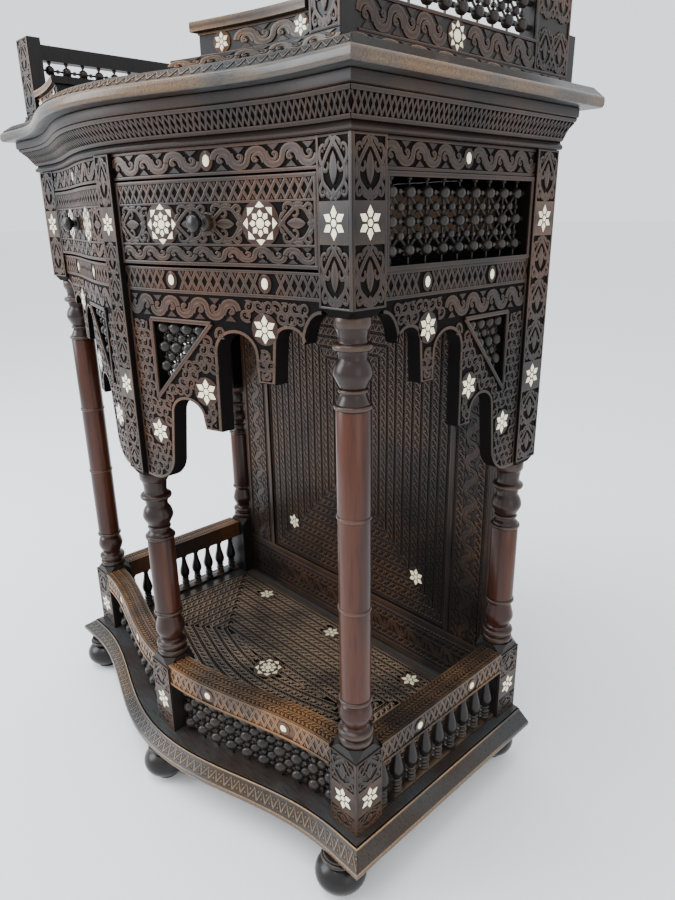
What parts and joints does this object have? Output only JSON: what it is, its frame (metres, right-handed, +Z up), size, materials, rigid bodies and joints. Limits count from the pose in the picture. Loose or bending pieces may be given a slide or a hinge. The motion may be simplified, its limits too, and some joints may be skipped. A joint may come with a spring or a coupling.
{
  "type": "carved stand cabinet",
  "caption": "Free-standing carved wooden stand with a bowed front: open shelf behind turned columns and a low gallery, drawers above, a moulded top and a low upper stage.",
  "frame": {"origin": "on the floor under the middle of the object's box", "axes": "+Z up, -Y the bowed front with the drawers, +X to the right seen from the front"},
  "size_m": [0.8232, 0.5186, 1.144],
  "materials": {
    "carved_wood": "dark stained, waxed, carved all over",
    "turned_wood": "near-black stained, polished, turned",
    "column_wood": "red-brown, polished, turned",
    "drawer_lining": "plain, unpolished"
  },
  "bodies": {
    "carcase": {"plinth": "carved_wood", "back_frame": "carved_wood", "back_panel": "carved_wood", "cornice": "carved_wood", "top_slab": "carved_wood", "upper_back": "carved_wood", "floor_board": "carved_wood", "foot_front_left": "turned_wood", "pedestal_front_left": "carved_wood", "column_front_left": "column_wood", "post_front_left": "carved_wood", "foot_front_middle": "turned_wood", "pedestal_front_middle": "carved_wood", "column_front_middle": "column_wood", "post_front_middle": "carved_wood", "foot_front_right": "turned_wood", "pedestal_front_right": "carved_wood", "column_front_right": "column_wood", "post_front_right": "carved_wood", "foot_rear_left": "turned_wood", "pedestal_rear_left": "carved_wood", "column_rear_left": "column_wood", "post_rear_left": "carved_wood", "foot_rear_right": "turned_wood", "pedestal_rear_right": "carved_wood", "column_rear_right": "column_wood", "post_rear_right": "carved_wood", "gallery_rail_front_left": "carved_wood", "gallery_rail_side_left": "carved_wood", "gallery_lattice_left": "turned_wood", "gallery_balusters_left": "turned_wood", "frieze_front_left": "carved_wood", "apron_front_left": "carved_wood", "side_panel_left": "carved_wood", "side_lattice_left": "turned_wood", "apron_lattice_front_left": "turned_wood", "apron_lattice_side_left": "turned_wood", "upper_base_left": "carved_wood", "upper_side_left": "carved_wood", "upper_lattice_left": "turned_wood", "gallery_rail_front_right": "carved_wood", "gallery_rail_side_right": "carved_wood", "gallery_lattice_right": "turned_wood", "gallery_balusters_right": "turned_wood", "frieze_front_right": "carved_wood", "apron_front_right": "carved_wood", "side_panel_right": "carved_wood", "side_lattice_right": "turned_wood", "apron_lattice_front_right": "turned_wood", "apron_lattice_side_right": "turned_wood", "upper_base_right": "carved_wood", "upper_side_right": "carved_wood", "upper_lattice_right": "turned_wood", "drawer_housing": "drawer_lining"},
    "drawer_left": {"drawer_front_left": "carved_wood", "drawer_box_left": "drawer_lining", "drawer_knob_left": "turned_wood"},
    "drawer_right": {"drawer_front_right": "carved_wood", "drawer_box_right": "drawer_lining", "drawer_knob_right": "turned_wood"}
  },
  "joints": [
    {"name": "drawer_left_slide", "type": "slide", "parent": "carcase", "child": "drawer_left", "axis": [0, -1, 0], "range_m": [0, 0.24]},
    {"name": "drawer_right_slide", "type": "slide", "parent": "carcase", "child": "drawer_right", "axis": [0, -1, 0], "range_m": [0, 0.24]}
  ]
}
